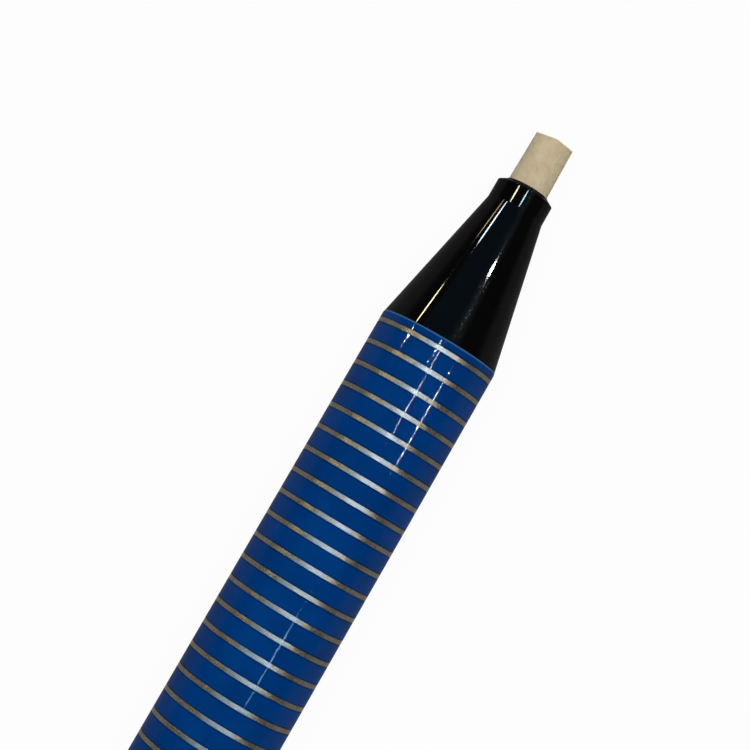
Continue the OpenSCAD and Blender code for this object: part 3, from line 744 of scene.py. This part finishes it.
def turn_copy(piece, angle):
    """A copy with its own mesh, turned around the axis of the stick."""
    take(piece)
    bpy.ops.object.duplicate(linked=False)
    copy = bpy.context.object
    copy.rotation_euler.x = angle
    settle(copy)
    return copy


middle_x = FLUTE_FRONT_X - FLUTE_LEN + FLUTE_R
clear_selection()
bpy.ops.mesh.primitive_uv_sphere_add(
    segments=24, ring_count=12, radius=FLUTE_R * MM, rotation=(0, math.pi / 2, 0),
    location=Vector((middle_x, 0, KNOB_R - FLUTE_DEEP + FLUTE_R)) * MM,
)
cutter = bpy.context.object
settle(cutter)
bpy.ops.object.mode_set(mode="EDIT")
pick(cutter, lambda x, y, z: x > middle_x + 0.01)
bpy.ops.transform.translate(value=((FLUTE_LEN - 2 * FLUTE_R) * MM, 0, 0))
bpy.ops.object.mode_set(mode="OBJECT")
cutters = [turn_copy(cutter, 2 * math.pi * number / FLUTES) for number in range(1, FLUTES)]
combine_with(knob, join([cutter] + cutters), "DIFFERENCE")
smooth(knob)
dress(knob, knob_black)
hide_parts("twist_knob")
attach(knob, "knob")
count(knob)

# %% [markdown]
# The end cap is a low polished dome on a short rim, with a plug that sits inside the knob. Its section
# is an arc of a circle, so that the reflection on it stays round.

# %% End cap
cap_back_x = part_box("end_cap")[0].x / MM
cap_front_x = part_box("end_cap")[1].x / MM
CAP_R = 4.3
CAP_RISE = 1.34
ARC_STEPS = 16
dome_r = (CAP_R**2 + CAP_RISE**2) / (2 * CAP_RISE)
arc = []
for number in range(ARC_STEPS + 1):
    lean = math.asin(CAP_R / dome_r) * number / ARC_STEPS
    arc.append([cap_back_x + dome_r * (1 - math.cos(lean)), dome_r * math.sin(lean)])
rim_x = knob_back_x - GAP
cap = turned(
    "dome_cap",
    arc + [[rim_x, CAP_R], [rim_x, PLUG_R - GAP], [cap_front_x, PLUG_R - GAP], [cap_front_x, 0]],
)
soften(cap, 0.05, 2, 30)
smooth(cap)
dress(cap, nickel)
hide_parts("end_cap")
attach(cap, "knob")
count(cap)

# %% [markdown]
# The pocket clip is sheet metal, so it starts as the outline of its cross-section, a flat strip with
# rounded upper edges. The outline is filled, extruded from place to place along the clip and narrowed on
# the way. Near the hinge two cheeks are extruded downwards, and each place then gets its own depth. All
# of it is built pointing up and leaned over at the end, because the clip rests on the table beside the
# barrel.

# %% Clip arm
CLIP_TURN = math.radians(-118.27)
PIN_X = (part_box("clip_pin")[0].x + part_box("clip_pin")[1].x) / 2 / MM
PIN_Z = 7.45
PIN_R = 0.45
CLIP_TOP = 8.95
CLIP_HALF = 2.0
SHEET = 0.6
CHEEK_IN = CLIP_HALF - SHEET


def leaned(piece):
    """Turns a piece that was built pointing up to the side on which the clip rests."""
    take(piece)
    piece.rotation_euler.x = CLIP_TURN
    settle(piece)


edge_line = [(CLIP_HALF, -0.22), (1.93, -0.10), (1.75, -0.035), (1.0, -0.01), (0.0, 0.0)]
outline = [(-CLIP_HALF, -SHEET), (-CHEEK_IN, -SHEET), (CHEEK_IN, -SHEET), (CLIP_HALF, -SHEET)] + edge_line
outline += [(-y, z) for y, z in reversed(edge_line[:-1])]
# each place: distance from the pin, drop of the strip, share of the full width
STATIONS = [
    (-3.0, 0, 0.93), (-2.85, 0, 0.985), (-2.6, 0, 1), (-1.95, 0, 1), (-1.35, 0, 1), (-0.9, 0, 1),
    (0, 0, 1), (1.2, 0, 1), (1.8, 0, 1), (2.9, 0, 1), (6.0, 0, 1), (9.4, 0, 1), (10.0, 0.01, 0.998),
    (10.8, 0.045, 0.987), (16.0, 0.28, 0.92), (24.0, 0.66, 0.82), (31.4, 1.01, 0.735),
    (32.0, 1.03, 0.725), (32.5, 1.0, 0.717), (33.2, 0.84, 0.7), (33.8, 0.69, 0.67),
    (34.15, 0.61, 0.6), (34.35, 0.56, 0.49), (34.4, 0.55, 0.40),
]
tail_x = PIN_X + STATIONS[0][0]
arm = drawn("clip_strip", [Vector((tail_x, y, CLIP_TOP + z)) * MM for y, z in outline + outline[:1]])
bpy.ops.mesh.remove_doubles(threshold=0.001 * MM)
bpy.ops.mesh.edge_face_add()
bpy.ops.transform.resize(value=(1, STATIONS[0][2], 1))
for (x0, drop0, wide0), (x1, drop1, wide1) in zip(STATIONS, STATIONS[1:]):
    step = Vector((x1 - x0, 0, drop0 - drop1)) * MM
    bpy.ops.mesh.extrude_region_move(TRANSFORM_OT_translate={"value": step})
    bpy.ops.transform.resize(value=(1, wide1 / wide0, 1))
print("strip of", len(STATIONS), "places,", round(STATIONS[-1][0] - STATIONS[0][0], 1), "mm long")

# %% [markdown]
# The cheeks are the folded sides of the strip. Their lower edge runs down to the hinge pin and up again,
# in a rounded corner on each side.

# %% Cheeks
CHEEK_DEPTHS = [
    (-3.0, 0.30), (-2.85, 0.38), (-2.6, 0.55), (-1.95, 1.02), (-1.35, 1.43), (-0.9, 1.62), (0, 1.65),
    (1.2, 1.64), (1.8, 1.58), (2.9, 1.40), (6.0, 0.83), (9.4, 0.20), (10.0, 0.06),
]
bend_x = PIN_X + CHEEK_DEPTHS[-1][0]
under = CLIP_TOP - SHEET
start = 0.04
bpy.ops.mesh.select_all(action="DESELECT")
mesh = bmesh.from_edit_mesh(arm.data)
for face in mesh.faces:
    middle = face.calc_center_median() / MM
    low = max(vertex.co.z for vertex in face.verts) / MM < under + 0.005
    face.select = low and abs(middle.y) > CHEEK_IN * 0.98 and middle.x < bend_x
bmesh.update_edit_mesh(arm.data)
bpy.ops.mesh.extrude_region_move(TRANSFORM_OT_translate={"value": (0, 0, -start * MM)})
for away, depth in CHEEK_DEPTHS:
    x_here = PIN_X + away
    pick(arm, lambda x, y, z: abs(x - x_here) < 0.02 and under - 0.06 < z < under - 0.02)
    bpy.ops.transform.translate(value=(0, 0, (start - depth) * MM))
bpy.ops.mesh.select_all(action="SELECT")
bpy.ops.mesh.normals_make_consistent(inside=False)
bpy.ops.object.mode_set(mode="OBJECT")
soften(arm, 0.07, 2, 50)
print("cheeks", max(depth for _, depth in CHEEK_DEPTHS), "mm deep")

# %% [markdown]
# A ball under the clip's end presses on the barrel, and a bore through the cheeks takes the hinge pin.
# Both are combined with the strip by booleans.

# %% Ball and pin bore
BALL_R = 0.8
BALL_X = PIN_X + 32.2
BALL_Z = 6.9
BORE_ROOM = 0.03
BORE_LEN = 6


def crosswise(radius, length, y=0, vertices=64):
    """A cylinder across the stick, on the axis of the hinge pin."""
    clear_selection()
    bpy.ops.mesh.primitive_cylinder_add(
        vertices=vertices, radius=radius * MM, depth=length * MM, rotation=(math.pi / 2, 0, 0),
        location=Vector((PIN_X, y, PIN_Z)) * MM,
    )
    piece = bpy.context.object
    settle(piece)
    return piece


clear_selection()
bpy.ops.mesh.primitive_uv_sphere_add(
    segments=48, ring_count=24, radius=BALL_R * MM, location=Vector((BALL_X, 0, BALL_Z)) * MM
)
ball = bpy.context.object
settle(ball)
combine_with(arm, ball, "UNION")
combine_with(arm, crosswise(PIN_R + BORE_ROOM, BORE_LEN), "DIFFERENCE")
smooth(arm, 35)
leaned(arm)
dress(arm, clip_nickel)
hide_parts("clip_arm")
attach(arm, "clip")
count(arm)

# %% [markdown]
# The clip hangs on a ring that sits between the barrel and the flange. Two ears stand on the ring. Each
# ear is a short cylinder whose lower half is pulled down into the ring, which gives a link with straight
# sides.

# %% Clip ring
EAR_R = 0.7
EAR_T = 0.45
EAR_Y = 1.095
EAR_FOOT = 1.2
HINGE_R = BARREL_R - 0.05
hinge_ring = turned(
    "hinge_ring",
    [
        [ring_back_x, BORE_R + GAP], [ring_back_x, HINGE_R],
        [REAR_X - GAP, HINGE_R], [REAR_X - GAP, BORE_R + GAP],
    ],
    steps=144,
    bevel=0.05,
)
for side in (-1, 1):
    ear = crosswise(EAR_R, EAR_T, side * EAR_Y, vertices=48)
    bpy.ops.object.mode_set(mode="EDIT")
    pick(ear, lambda x, y, z: z < PIN_Z - 0.01)
    bpy.ops.transform.translate(value=(0, 0, -EAR_FOOT * MM))
    bpy.ops.object.mode_set(mode="OBJECT")
    soften(ear, 0.04, 2, 50)
    combine_with(hinge_ring, ear, "UNION")
combine_with(hinge_ring, crosswise(PIN_R + GAP, BORE_LEN), "DIFFERENCE")
smooth(hinge_ring)
leaned(hinge_ring)
dress(hinge_ring, nickel)
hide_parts("clip_ring")
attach(hinge_ring, "holder")
count(hinge_ring)

# %% [markdown]
# The pin is a plain rod with broken edges. It is turned along the stick, like every round piece, then
# swung across it into the bores of the cheeks and ears.

# %% Hinge pin
pin = turned(
    "hinge_pin",
    [[-CLIP_HALF, 0], [-CLIP_HALF, PIN_R], [CLIP_HALF, PIN_R], [CLIP_HALF, 0]],
    steps=64,
    bevel=0.07,
)
pin.rotation_euler.z = math.pi / 2
pin.location = Vector((PIN_X, 0, PIN_Z)) * MM
settle(pin)
leaned(pin)
dress(pin, steel)
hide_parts("clip_pin")
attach(pin, "holder")
count(pin)

# %% [markdown]
# The camera is the one that took the photo, found by fitting a pinhole camera to the barrel's outline
# and to its bands. It looks almost straight down on the stick, turned so that the tip points to the
# upper right. Its frame is shifted, because the photo is cut out of a larger picture.

# %% Camera
CAMERA_PLACE = Vector((-16.0954, 0, 177.363))
camera_data = bpy.data.cameras.new("camera")
camera_data.lens = 90.083
camera_data.sensor_width = 36
camera_data.clip_start = 0.01
camera_data.shift_x = 0.10426
camera_data.shift_y = -0.25397
camera = bpy.data.objects.new("camera", camera_data)
bpy.context.scene.collection.objects.link(camera)
right = Vector((0.50738365, -0.86123187, -0.02900864))
up = Vector((0.85255984, 0.49680998, 0.16223926))
back = right.cross(up)
turn = Matrix((right, up, back)).transposed().to_4x4()
camera.matrix_world = Matrix.Translation(CAMERA_PLACE * MM) @ turn
bpy.context.scene.camera = camera
print("camera", round(CAMERA_PLACE.z), "mm above the axis")

# %% [markdown]
# The photo's background is plain white. The floor is a pale sheet that shows white to the camera and in
# reflections, while the light that it sends back to the object is that of plain paper. A share of the
# paper stays in what the camera sees, so that the object keeps a soft shadow on it.

# %% Floor
FLOOR_SIZE = 6
PAPER_GREY = 0.75
WHITE_SHARE = 0.95
clear_selection()
bpy.ops.mesh.primitive_plane_add(size=FLOOR_SIZE, location=(0, 0, -BARREL_R * MM))
floor = bpy.context.object
floor.name = "floor"
paper = bpy.data.materials.new("floor paper")
paper.use_nodes = True
tree = paper.node_tree
matt = tree.nodes["Principled BSDF"]
matt.inputs["Base Color"].default_value = (PAPER_GREY, PAPER_GREY, PAPER_GREY, 1)
matt.inputs["Roughness"].default_value = 0.9
matt.inputs["Specular IOR Level"].default_value = 0.0
white = tree.nodes.new("ShaderNodeEmission")
white.inputs["Color"].default_value = (1, 1, 1, 1)
white.inputs["Strength"].default_value = 1.0
seen = tree.nodes.new("ShaderNodeLightPath")
share = combine(tree, "MAXIMUM", seen.outputs["Is Camera Ray"], seen.outputs["Is Glossy Ray"])
share = combine(tree, "MAXIMUM", share, seen.outputs["Is Transmission Ray"])
share = combine(tree, "MULTIPLY", share, WHITE_SHARE)
mix = tree.nodes.new("ShaderNodeMixShader")
tree.links.new(share, mix.inputs["Fac"])
tree.links.new(matt.outputs["BSDF"], mix.inputs[1])
tree.links.new(white.outputs["Emission"], mix.inputs[2])
tree.links.new(mix.outputs["Shader"], tree.nodes["Material Output"].inputs["Surface"])
floor.data.materials.append(paper)

# %% [markdown]
# The world is a dim studio, pale along the horizon. The pale part is what the sides of the round, glossy
# pieces reflect, and the darker sky above keeps their tops dark.

# %% World
world = bpy.data.worlds.new("studio")
world.use_nodes = True
sky = world.node_tree
backing = sky.nodes["Background"]
backing.inputs["Color"].default_value = (0.97, 0.99, 1.0, 1)
direction = sky.nodes.new("ShaderNodeTexCoord")
upward = sky.nodes.new("ShaderNodeSeparateXYZ")
sky.links.new(direction.outputs["Generated"], upward.inputs["Vector"])
sky.links.new(spread(sky, upward.outputs["Z"], 0.7, 0.12, 0.0, 0.22), backing.inputs["Strength"])
bpy.context.scene.world = world

# %% [markdown]
# One big soft box overhead gives the round shading, and is hidden from reflections, because the photo
# shows none of it in the black gloss. A bluish panel is seen in reflections alone and gives the nose its
# navy middle.

# %% Soft box and panel
OVERHEAD_Z = 900
PANEL_Y = 270


def lamp(name, place, aim, size, radiance, colour=(1, 1, 1), along=(1, 0, 0), shape="RECTANGLE"):
    """An area lamp in millimetres. A radiance of 1 looks white, and the watts follow from its area."""
    data = bpy.data.lights.new(name, "AREA")
    data.shape = shape
    data.size, data.size_y = size[0] * MM, size[1] * MM
    area = data.size * data.size_y * (math.pi / 4 if shape == "ELLIPSE" else 1)
    data.energy = radiance * math.pi * area
    data.color = colour
    light = bpy.data.objects.new(name, data)
    bpy.context.scene.collection.objects.link(light)
    back = (Vector(place) - Vector(aim)).normalized()
    side = Vector(along) - Vector(along).dot(back) * back
    side.normalize()
    light.matrix_world = Matrix.Translation(Vector(place) * MM) @ Matrix(
        (side, back.cross(side), back)
    ).transposed().to_4x4()
    return light


softbox = lamp("soft box", (0, 0, OVERHEAD_Z), (0, 0, 0), (650, 650), 5.6)
softbox.visible_glossy = False
NAVY = (0.10, 0.52, 1.0)
panel = lamp("blue panel", (0, PANEL_Y, OVERHEAD_Z), (0, PANEL_Y, 0), (2600, 1200), 1.0, NAVY)
panel.visible_diffuse = False

# %% [markdown]
# Each thin line of light in the photo is the reflection of a lamp. It is traced back by its mirror angle
# to a height of half a metre, and a small oval strip stands where the reflected lines of sight arrive.

# %% Strips
STRIP_Z = 500


def strip(name, start, end, width, radiance, colour=(1, 1, 1)):
    """A flat oval lamp that looks straight down, seen in reflections alone."""
    start, end = Vector((*start, STRIP_Z)), Vector((*end, STRIP_Z))
    place = (start + end) / 2
    below = place - Vector((0, 0, STRIP_Z))
    along = end - start
    light = lamp(name, place, below, (along.length, width), radiance, colour, along, "ELLIPSE")
    light.visible_diffuse = False


WARM = (1.0, 0.86, 0.50)
COOL = (0.72, 0.93, 1.0)
strip("nose warm far", (599, 905), (672, 1052), 38, 120, (1.0, 0.72, 0.42))
strip("nose cool", (438, 508), (476, 591), 32, 400, COOL)
strip("nose warm", (475, 808), (516, 886), 33, 420, WARM)
strip("collar warm", (120, 286), (126, 348), 8, 420, WARM)
strip("collar cool", (107, -64), (106, -28), 7, 330, (0.55, 0.92, 1.0))
strip("edge warm", (79, 695), (84, 762), 6.5, 2300, (1.0, 0.92, 0.62))
strip("edge dot", (46, -22), (46, 1), 1.5, 2000)
strip("nose spot", (347, -268), (331, -192), 8.5, 750, (1.0, 0.95, 0.86))
strip("rose strip", (43, -80), (9, -80), 14, 250, (1.0, 0.90, 0.90))
strip("white strip", (49, -462), (4, -462), 12, 1050)
strip("blue strip", (-60, -221), (-105, -221), 30, 85, (0.38, 0.76, 1.0))

# %% [markdown]
# Colours were read off the photo as a picture program shows them, so no film-like tone curve is laid
# over the render.

# %% Colours as written
bpy.context.scene.view_settings.view_transform = "Standard"
